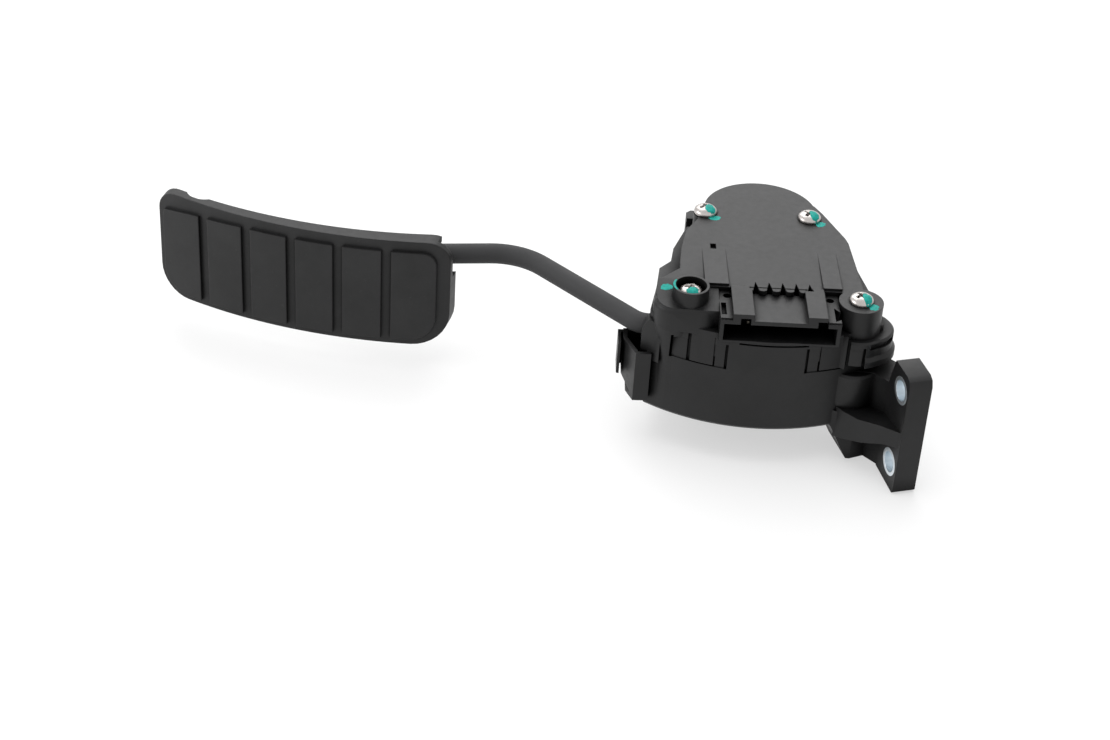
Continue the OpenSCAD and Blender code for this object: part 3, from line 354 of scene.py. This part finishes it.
def plated_steel(name, colour, roughness, streak=1.0, grime=0.0):
    """Plated or ground steel: faint cloudy tint, patchy gloss, fine unevenness, softened edges and, where a
    depth is given, painted shade darkening its recesses."""
    mat, nt, shader, at = node_tree(name)
    base = mix(nt, ramp(nt, noise(nt, at, 180, 5), [(0.3, 0.0), (0.7, 1.0)]),
               tuple(c * 0.86 for c in colour), tuple(min(1, c * 1.06) for c in colour))
    # Painted shade: recesses found by ambient occlusion are darkened towards a near-black brown.
    if grime:
        base = mix(nt, hollow_shade(nt, grime * MM), (0.03, 0.028, 0.025), base)
    nt.links.new(base, shader.inputs["Base Color"])
    gloss = ramp(nt, noise(nt, at, 900, 5, 0.65), [(0.3, roughness - 0.08), (0.7, roughness + 0.1)])
    nt.links.new(gloss, shader.inputs["Roughness"])
    shader.inputs["Metallic"].default_value = 1.0
    normal = bump(nt, noise(nt, at, 1500, 3, 0.6), 0.15 * streak, 0.00003, rounded(nt, 0.25 * MM))
    nt.links.new(normal, shader.inputs["Normal"])
    return mat


def coated_rod(name, colour, roughness):
    """Black coated steel: smooth film with slight orange peel and a few paler specks."""
    mat, nt, shader, at = node_tree(name)
    specks = ramp(nt, noise(nt, at, 700, 6, 0.75), [(0.7, 0.0), (0.8, 0.5)])
    base = mix(nt, specks, colour, tuple(c * 3 + 0.01 for c in colour))
    nt.links.new(base, shader.inputs["Base Color"])
    gloss = ramp(nt, noise(nt, at, 90, 4), [(0.3, roughness - 0.05), (0.7, roughness + 0.07)])
    nt.links.new(gloss, shader.inputs["Roughness"])
    shader.inputs["Specular IOR Level"].default_value = 0.12
    nt.links.new(bump(nt, noise(nt, at, 800, 3, 0.5), 0.2, 0.00008), shader.inputs["Normal"])
    return mat


def soft_rubber(name, colour):
    """Dull rubber with a fine powdery bloom."""
    mat, nt, shader, at = node_tree(name)
    bloom = ramp(nt, noise(nt, at, 260, 4), [(0.4, 0.0), (0.7, 0.7)])
    base = mix(nt, bloom, colour, tuple(c * 1.7 + 0.01 for c in colour))
    nt.links.new(base, shader.inputs["Base Color"])
    gloss = ramp(nt, noise(nt, at, 200, 3), [(0.3, 0.75), (0.7, 0.9)])
    nt.links.new(gloss, shader.inputs["Roughness"])
    nt.links.new(bump(nt, noise(nt, at, 1800, 2), 0.3, 0.00006), shader.inputs["Normal"])
    return mat


def lacquered_board(name, colour):
    """Printed board: green lacquer over faint darker tracks."""
    mat, nt, shader, at = node_tree(name)
    tracks = ramp(nt, noise(nt, at, 330, 1, 0.2), [(0.48, 0.0), (0.5, 0.8), (0.53, 0.0)])
    base = mix(nt, tracks, colour, tuple(c * 1.8 + 0.01 for c in colour))
    nt.links.new(base, shader.inputs["Base Color"])
    gloss = ramp(nt, noise(nt, at, 150, 2), [(0.3, 0.25), (0.7, 0.38)])
    nt.links.new(gloss, shader.inputs["Roughness"])
    nt.links.new(bump(nt, tracks, 0.3, 0.00005), shader.inputs["Normal"])
    return mat


def paint(name, colour):
    """Marking paint: half-dull film with uneven colour and brush ripples."""
    mat, nt, shader, at = node_tree(name)
    base = mix(nt, ramp(nt, noise(nt, at, 900, 4), [(0.3, 0.0), (0.7, 1.0)]),
               tuple(c * 0.75 for c in colour), tuple(min(1, c * 1.2 + 0.004) for c in colour))
    nt.links.new(base, shader.inputs["Base Color"])
    gloss = ramp(nt, noise(nt, at, 700, 3), [(0.3, 0.4), (0.7, 0.6)])
    nt.links.new(gloss, shader.inputs["Roughness"])
    shader.inputs["Specular IOR Level"].default_value = 0.15
    nt.links.new(bump(nt, noise(nt, at, 1200, 3), 0.4, 0.0001), shader.inputs["Normal"])
    return mat


def glowing_floor(name, colour):
    """Dull floor. To the camera and to mirroring faces it glows, in part near the middle, so that shadows
    stay soft, and wholly from a metre out, so that it ends in plain white."""
    mat, nt, shader, at = node_tree(name)
    shader.inputs["Base Color"].default_value = (*colour, 1)
    shader.inputs["Roughness"].default_value = 0.9
    glow = nt.nodes.new("ShaderNodeEmission")
    glow.inputs["Color"].default_value = (1, 1, 1, 1)
    far = nt.nodes.new("ShaderNodeVectorMath")
    far.operation = "LENGTH"
    nt.links.new(at, far.inputs[0])
    share = ramp(nt, far.outputs["Value"], [(0.45, 0.55), (1.0, 1.0)])
    seen = any_ray(nt, "Is Camera Ray", "Is Glossy Ray")
    blend = nt.nodes.new("ShaderNodeMixShader")
    nt.links.new(maths(nt, "MULTIPLY", seen, share), blend.inputs["Fac"])
    nt.links.new(shader.outputs[0], blend.inputs[1])
    nt.links.new(glow.outputs[0], blend.inputs[2])
    nt.links.new(blend.outputs[0], nt.nodes["Material Output"].inputs["Surface"])
    return mat


def once(name, make, *args, **kw):
    """The material of that name, made the first time that it is asked for."""
    return bpy.data.materials.get(name) or make(name, *args, **kw)


def case_material():
    s = bpy.context.scene.pedal_case
    # The case plastic gets painted shade in hollows up to 14 mm deep.
    return once("case plastic", moulded_plastic, tuple(s.case_colour), s.case_gloss,
                edge=s.edge_round, hollow=14)


def steel_material():
    return once("bright steel", plated_steel, (0.6, 0.6, 0.62), 0.3)


# Properties

class PedalCaseLooks(bpy.types.PropertyGroup):
    case_colour: FloatVectorProperty(
        name="Case colour", description="Colour of the case's black plastic",
        subtype="COLOR", default=(0.006, 0.006, 0.0063), min=0, max=1)
    case_gloss: FloatProperty(
        name="Case roughness", description="Roughness of the case's surface",
        default=0.42, min=0.1, max=1)
    edge_round: FloatProperty(
        name="Edge rounding", description="Radius of the moulded edges in millimetres",
        default=0.45, min=0, max=2)


class PedalPadLooks(bpy.types.PropertyGroup):
    pad_colour: FloatVectorProperty(
        name="Pad colour", description="Colour of the foot pad's plastic",
        subtype="COLOR", default=(0.0135, 0.0135, 0.0138), min=0, max=1)
    pad_gloss: FloatProperty(
        name="Pad roughness", description="Roughness of the pad's surface",
        default=0.5, min=0.1, max=1)
    pad_edge: FloatProperty(
        name="Pad edge rounding", description="Radius of the pad's edges in millimetres",
        default=0.9, min=0, max=2)
    rod_colour: FloatVectorProperty(
        name="Rod colour", description="Colour of the rod's coating",
        subtype="COLOR", default=(0.042, 0.042, 0.043), min=0, max=1)
    rod_gloss: FloatProperty(
        name="Rod roughness", description="Roughness of the rod's coating",
        default=0.6, min=0.1, max=1)


class PedalMetalLooks(bpy.types.PropertyGroup):
    zinc_colour: FloatVectorProperty(
        name="Screw colour", description="Colour of the screws' zinc plating",
        subtype="COLOR", default=(0.52, 0.49, 0.47), min=0, max=1)
    sleeve_colour: FloatVectorProperty(
        name="Sleeve colour", description="Colour of the bolt sleeves' plating",
        subtype="COLOR", default=(0.82, 0.88, 0.92), min=0, max=1)
    thread_pitch: FloatProperty(
        name="Thread pitch", description="Pitch of the screws' threads in millimetres",
        default=1.8, min=0.5, max=3)
    coil_sides: IntProperty(
        name="Wire sides", description="Sides of the springs' round wire",
        default=14, min=6, max=32)


class PedalMarkLooks(bpy.types.PropertyGroup):
    mark_colour: FloatVectorProperty(
        name="Mark colour", description="Colour of the inspection paint",
        subtype="COLOR", default=(0.008, 0.26, 0.22), min=0, max=1)
    mark_film: FloatProperty(
        name="Mark thickness", description="Thickness of the paint in millimetres",
        default=0.12, min=0.02, max=0.5)


class PedalStageLooks(bpy.types.PropertyGroup):
    floor_colour: FloatVectorProperty(
        name="Floor colour", description="Colour of the studio floor",
        subtype="COLOR", default=(0.82, 0.82, 0.82), min=0, max=1)
    fill_level: FloatProperty(
        name="Fill level", description="Strength of the even light from all round",
        default=0.52, min=0, max=2)
    key_level: FloatProperty(
        name="Key level", description="Power of the large lamp above, in watts",
        default=14, min=0, max=200)


# Operators

class PEDAL_OT_finish_case(bpy.types.Operator):
    """Joins, smooths and colours the case moulding, the sensor cover and the seal between them"""
    bl_idname = "pedal.finish_case"
    bl_label = "Finish the case"

    def execute(self, context):
        material = case_material()
        finished_copy("housing", "case", material)
        finished_copy("cover", "case", material)
        seal = once("seal rubber", soft_rubber, (0.22, 0.07, 0.04))
        finished_copy("cover_seal", "case", seal)
        return {"FINISHED"}


class PEDAL_OT_finish_pad(bpy.types.Operator):
    """Joins, smooths and colours the foot pad, the bent rod and the lever inside the case"""
    bl_idname = "pedal.finish_pad"
    bl_label = "Finish the pad and rod"

    def execute(self, context):
        s = context.scene.pedal_pad
        # The pad plastic gets painted shade in its grooves and hollows up to 5 mm deep.
        pad = once("pad plastic", moulded_plastic, tuple(s.pad_colour), s.pad_gloss, edge=s.pad_edge,
                   wear=0.8, sheen=0.28, hollow=5)
        finished_copy("pedal_pad", "pedal", pad)
        rod = once("rod coating", coated_rod, tuple(s.rod_colour), s.rod_gloss)
        finished_copy("pedal_rod", "pedal", rod)
        lever = once("lever plastic", moulded_plastic, tuple(c * 0.9 for c in s.pad_colour), 0.42, edge=0.4)
        finished_copy("lever", "pedal", lever)
        finished_copy("pad_pin", "pedal", steel_material())
        return {"FINISHED"}


class PEDAL_OT_finish_inside(bpy.types.Operator):
    """Colours the shaft, bushes, washers, magnet, board, chips, pins and rubber stops"""
    bl_idname = "pedal.finish_inside"
    bl_label = "Finish the inner parts"

    def execute(self, context):
        s = context.scene.pedal_metal
        bush = once("bush plastic", moulded_plastic, (0.72, 0.7, 0.62), 0.4, edge=0.2, wear=0.1)
        magnet = once("magnet", moulded_plastic, (0.08, 0.08, 0.085), 0.5, edge=0.2)
        chip = once("chip plastic", moulded_plastic, (0.015, 0.015, 0.015), 0.35, edge=0.1)
        board = once("board lacquer", lacquered_board, (0.02, 0.14, 0.06))
        # Pin metal: tin darker than bright plating, as painted shade for the pins in their shaded socket, and
        # darkened further by painted shade in hollows up to 12 mm deep.
        tin = once("pin metal", plated_steel, (0.3, 0.27, 0.22), 0.45, grime=12)
        stops = once("stop rubber", soft_rubber, (0.02, 0.02, 0.021))
        sleeve = once("sleeve plating", plated_steel, tuple(s.sleeve_colour), 0.36, streak=0.5)
        steel = steel_material()
        rows = [("upper_bush", "pedal", "bush_plastic", bush),
                ("lower_bush", "pedal", "bush_plastic", bush),
                ("thrust_washer", "case", "bush_plastic", bush),
                ("rotor_magnet", "pedal", "magnet", magnet),
                ("circuit_board", "case", "board", board),
                ("sensor_chips", "case", "chip", chip),
                ("terminal_pins", "case", "contact_metal", tin),
                ("idle_stop", "case", "stop_rubber", stops),
                ("end_stop", "case", "stop_rubber", stops),
                ("pivot_shaft", "case", "shaft_steel", steel),
                ("shaft_retainer", "case", "shaft_steel", steel),
                ("wave_washer", "case", "shaft_steel", steel),
                ("upper_sleeve", "case", "sleeve_zinc", sleeve),
                ("lower_sleeve", "case", "sleeve_zinc", sleeve)]
        for node, body, slot, material in rows:
            finished_copy(node, body, material)
        return {"FINISHED"}


class PEDAL_OT_wind_springs(bpy.types.Operator):
    """Winds the two nested return springs from round wire, their upper legs lying along the lever"""
    bl_idname = "pedal.wind_springs"
    bl_label = "Wind the return springs"

    def execute(self, context):
        s = context.scene.pedal_metal
        wire = once("spring wire", plated_steel, (0.42, 0.42, 0.44), 0.34)
        for node, (wire_r, sizes) in SPRINGS.items():
            points, faces = tube(spring_path(*sizes), wire_r, s.coil_sides)
            coil = mesh_object(node + "_wire", arm_to_part(points), faces, wire, None, "spring_steel", 50)
            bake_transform(coil)
            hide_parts(node)
        return {"FINISHED"}


def pan_head(r):
    """Height of a pan head at radius r: a quarter ellipse that stands on a short upright rim."""
    return HEAD_RIM + (HEAD_H - HEAD_RIM) * np.sqrt(np.clip(1 - (r / HEAD_R) ** 2, 0, 1))


def cross_recess(x, y):
    """Depth of a cross recess at x, y: two crossing bars with sloping sides, deepest at the middle."""
    def bar(along, across):
        side = np.clip((RECESS_HALF - np.abs(across)) / 0.25, 0, 1)
        end = np.clip((RECESS_ARM - np.abs(along)) / 0.5, 0, 1)
        return side * end * (0.45 + 0.55 * np.clip(1 - np.abs(along) / RECESS_ARM, 0, 1))
    return RECESS_DEPTH * np.maximum(bar(x, y), bar(y, x))


def screw_points(pitch, turn):
    """Closed surface of a screw as rows of rings: tip, threaded shank, underside, rim and recessed head.
    The thread's height is a sharp triangle wave of height over the pitch less the angle."""
    a = np.linspace(0, 2 * np.pi, 72, endpoint=False)
    z = np.linspace(-SHANK_LENGTH, -1.2, 96)[:, None]
    tip = np.clip((z + SHANK_LENGTH) / TIP_LENGTH, 0.12, 1)
    wave = np.abs(((z / pitch - a[None] / (2 * np.pi)) % 1) - 0.5) * 2
    crest = np.clip(wave - 0.55, 0, 0.45) / 0.45
    fade = np.clip((-1.6 - z) / 1.2, 0, 1)
    r = (CORE_R + (THREAD_R - CORE_R) * crest * fade) * tip
    rows = [np.stack([r * np.cos(a), r * np.sin(a), np.broadcast_to(z, r.shape)], -1)]

    def ring(radius, height):
        h = np.broadcast_to(height, a.shape)
        return np.stack([radius * np.cos(a), radius * np.sin(a), h], -1)[None]

    rows += [ring(NECK_R, -1.0), ring(NECK_R, 0.02), ring(HEAD_R - 0.15, 0.02), ring(HEAD_R, 0.17)]
    for radius in HEAD_R * np.sqrt(np.linspace(1, 0.0004, 34)):
        x, y = radius * np.cos(a), radius * np.sin(a)
        rows.append(ring(radius, pan_head(radius) - cross_recess(*turned(x, y, -turn))))
    return np.concatenate(rows)


class PEDAL_OT_thread_screws(bpy.types.Operator):
    """Makes the four cover screws with pan heads, cross recesses and thread-forming shanks"""
    bl_idname = "pedal.thread_screws"
    bl_label = "Thread the cover screws"

    def execute(self, context):
        s = context.scene.pedal_metal
        # Painted shade darkens the zinc in the cross recesses and other hollows about 1.6 mm deep.
        zinc = once("screw zinc", plated_steel, tuple(s.zinc_colour), 0.27, grime=1.6)
        parts = []
        for middle, turn in zip(SCREWS.values(), SCREW_TURNS):
            rows = screw_points(s.thread_pitch, turn)
            placed = case_to_part(rows.reshape(-1, 3) + (*middle, DECK_Z))
            parts.append((placed, capped_grid(*rows.shape[:2])))
        obj = mesh_object("cover_screw_set", *joined(parts), zinc, "case", "zinc", 30)
        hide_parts("cover_screws")
        return {"FINISHED"}


def rim_dab(centre, radii, angles, height, film, n=40):
    """Paint on a collar's rim: a band between two radii over a range of angles, thinner towards its ends."""
    a = np.radians(np.linspace(*angles, n))[None]
    swell = np.sqrt(np.clip(1 - np.linspace(-1, 1, n) ** 2, 0, 1))[None]
    middle, half = sum(radii) / 2, (radii[1] - radii[0]) / 2
    k = np.array([-1, -0.8, 0, 0.8, 1, 1, 0.8, 0, -0.8, -1])[:, None]
    lift = np.array([0, 1, 1, 1, 0, -0.3, -0.3, -0.3, -0.3, -0.3])[:, None]
    r = middle + k * half * (0.35 + 0.65 * swell)
    z = height + lift * film * (0.3 + 0.7 * swell)
    rows = np.stack([centre[0] + r * np.cos(a), centre[1] + r * np.sin(a), np.broadcast_to(z, r.shape)], -1)
    return rows.transpose(1, 0, 2)


def blob(centre, size, film, seed, ground, turn=0.0):
    """Paint dab: an ellipse whose rim wanders by a few sine waves, rounded over in a quarter ellipse and
    standing on the ground height given for each point."""
    rng = np.random.default_rng(seed)
    a = np.linspace(0, 2 * np.pi, 48, endpoint=False)
    rim = 1 + sum(rng.uniform(0.02, 0.09) * np.sin(k * a + rng.uniform(0, 6.28)) for k in (2, 3, 5, 8))
    d = np.linspace(0, 1, 9)[:, None]
    x, y = d * rim * np.cos(a) * size[0] / 2, d * rim * np.sin(a) * size[1] / 2
    x, y = turned(x, y, turn)
    x, y = x + centre[0], y + centre[1]
    floor = ground(x, y)
    top = floor + film * (0.25 + 0.75 * np.sqrt(np.clip(1 - d ** 2, 0, 1)))
    upper = np.stack([x, y, top], -1)
    lower = np.stack([x, y, floor - 0.03], -1)[::-1]
    return np.concatenate([upper, lower])


class PEDAL_OT_mark_screws(bpy.types.Operator):
    """Dabs inspection paint on the cover screws and on the plastic beside them"""
    bl_idname = "pedal.mark_screws"
    bl_label = "Mark the cover screws"

    def execute(self, context):
        s = context.scene.pedal_marks
        colour = once("inspection paint", paint, tuple(s.mark_colour))

        def level(z):
            return lambda x, y: np.full(np.broadcast(x, y).shape, z)

        def sloping(x, y):
            return DECK_Z + np.minimum(y - SLOPE_START, 0) * SLOPE + 0 * x

        def on_head(name):
            cx, cy = SCREWS[name]
            return lambda x, y: DECK_Z + pan_head(np.minimum(np.hypot(x - cx, y - cy), HEAD_R - 0.01))

        # Middle, size, seed of the wandering rim, ground and turn of each dab
        dabs = [((-22.2, -3.8), (4.3, 6.0), 3, on_head("rear_left"), 0.2),
                ((22.6, -5.2), (4.2, 6.0), 5, on_head("rear_right"), 0.2),
                ((39.0, -69.6), (4.0, 6.0), 7, on_head("front_right"), 0.2),
                ((-32.4, -70.3), (4.8, 4.4), 9, on_head("front_left"), 0.2),
                ((-20.3, -7.1), (5.4, 3.8), 11, level(DECK_Z), 0.1),
                ((25.3, -8.2), (4.6, 3.9), 13, level(DECK_Z), 0.2),
                ((41.6, -72.0), (4.6, 4.4), 15, level(DECK_Z), 0.2),
                ((-42.6, -62.9), (4.8, 4.0), 17, sloping, 0.1)]
        parts = []
        for centre, size, seed, ground, turn in dabs:
            rows = blob(centre, size, s.mark_film, seed, ground, turn)
            faces = [face[::-1] for face in grid_faces(*rows.shape[:2])]
            parts.append((case_to_part(rows.reshape(-1, 3)), faces))
        arc = rim_dab(SCREWS["front_left"], COLLAR_RIM, (148, 216), DECK_Z + COLLAR_H, s.mark_film)
        parts.append((case_to_part(arc.reshape(-1, 3)), capped_grid(*arc.shape[:2])))
        obj = mesh_object("paint_marks", *joined(parts), colour, "case", "zinc", 60)
        bm = bmesh.new()
        bm.from_mesh(obj.data)
        bmesh.ops.remove_doubles(bm, verts=bm.verts, dist=1e-6)
        bmesh.ops.recalc_face_normals(bm, faces=bm.faces)
        bm.to_mesh(obj.data)
        bm.free()
        return {"FINISHED"}


class PEDAL_OT_stage(bpy.types.Operator):
    """Lays a pale floor, hangs soft lamps and sets the camera at the photographed angle"""
    bl_idname = "pedal.stage"
    bl_label = "Set the stage"

    def execute(self, context):
        s = context.scene.pedal_stage
        self.lay_floor(context.scene, s)
        self.light(context.scene, s)
        self.look(context.scene)
        return {"FINISHED"}

    def lay_floor(self, scene, s):
        floor_z = cad_low.z - FLOOR_GAP
        mesh = bpy.data.meshes.new("studio_floor")
        corners = [(x * FLOOR_HALF, y * FLOOR_HALF, floor_z) for x, y in ((-1, -1), (1, -1), (1, 1), (-1, 1))]
        mesh.from_pydata(corners, [], [(0, 1, 2, 3)])
        floor = bpy.data.objects.new("studio_floor", mesh)
        scene.collection.objects.link(floor)
        mesh.materials.append(glowing_floor("studio floor", s.floor_colour))

    def light(self, scene, s):
        world = bpy.data.worlds.new("studio")
        scene.world = world
        world.use_nodes = True
        nt = world.node_tree
        background = nt.nodes["Background"]
        background.inputs["Color"].default_value = (1, 1, 1, 1)
        level = nt.nodes.new("ShaderNodeMapRange")
        level.inputs["To Min"].default_value = s.fill_level
        level.inputs["To Max"].default_value = 1.0
        seen = any_ray(nt, "Is Camera Ray", "Is Glossy Ray", "Is Transmission Ray")
        nt.links.new(seen, level.inputs["Value"])
        nt.links.new(level.outputs["Result"], background.inputs["Strength"])
        centre = Vector((-0.1, 0.06, 0.0))
        # Name, place, width, power and whether glossy surfaces mirror it
        lamps = (("back softbox", (0.1, 1.0, 0.9), 1.2, s.key_level * 0.65, True),
                 ("top softbox", (-0.2, 0.2, 1.3), 1.2, s.key_level, False),
                 ("left softbox", (-1.0, 0.2, 0.35), 0.7, s.key_level * 0.3, True))
        for name, place, size, power, mirrored in lamps:
            lamp = bpy.data.lights.new(name, "AREA")
            lamp.shape = "SQUARE"
            lamp.size = size
            lamp.energy = power
            obj = bpy.data.objects.new(name, lamp)
            obj.location = place
            obj.rotation_euler = (centre - Vector(place)).to_track_quat("-Z", "Y").to_euler()
            obj.visible_glossy = mirrored
            scene.collection.objects.link(obj)

    def look(self, scene):
        camera = bpy.data.cameras.new("camera")
        camera.sensor_width = 36.0
        camera.lens = CAMERA_LENS
        camera.clip_start = 0.01
        camera.clip_end = 30.0
        obj = bpy.data.objects.new("camera", camera)
        scene.collection.objects.link(obj)
        forward = Vector(CAMERA_FORWARD).normalized()
        right = Vector(CAMERA_RIGHT)
        right = (right - forward * right.dot(forward)).normalized()
        up = right.cross(forward)
        turn = Matrix((right, up, -forward)).transposed()
        obj.matrix_world = Matrix.Translation(CAMERA_PLACE) @ turn.to_4x4()
        scene.camera = obj
        scene.view_settings.view_transform = "Standard"


class PEDAL_PT_looks(bpy.types.Panel):
    """Lists the steps that dress the pedal"""
    bl_idname = "PEDAL_PT_looks"
    bl_label = "Pedal looks"
    bl_space_type = "VIEW_3D"
    bl_region_type = "UI"
    bl_category = "Pedal"

    def draw(self, context):
        for operator in STEPS:
            self.layout.operator(operator.bl_idname)
        for name in GROUPS:
            box = self.layout.box()
            group = getattr(context.scene, name)
            for key in group.__annotations__:
                box.prop(group, key)


GROUPS = {"pedal_case": PedalCaseLooks, "pedal_pad": PedalPadLooks, "pedal_metal": PedalMetalLooks,
          "pedal_marks": PedalMarkLooks, "pedal_stage": PedalStageLooks}
STEPS = (PEDAL_OT_finish_case, PEDAL_OT_finish_pad, PEDAL_OT_finish_inside, PEDAL_OT_wind_springs,
         PEDAL_OT_thread_screws, PEDAL_OT_mark_screws, PEDAL_OT_stage)


def register():
    for cls in (*GROUPS.values(), *STEPS, PEDAL_PT_looks):
        bpy.utils.register_class(cls)
    for name, cls in GROUPS.items():
        setattr(bpy.types.Scene, name, PointerProperty(type=cls))


def unregister():
    for name in GROUPS:
        delattr(bpy.types.Scene, name)
    for cls in reversed((*GROUPS.values(), *STEPS, PEDAL_PT_looks)):
        bpy.utils.unregister_class(cls)


def main():
    register()
    for operator in STEPS:
        group, name = operator.bl_idname.split(".")
        getattr(getattr(bpy.ops, group), name)()


if __name__ == "__main__":
    main()
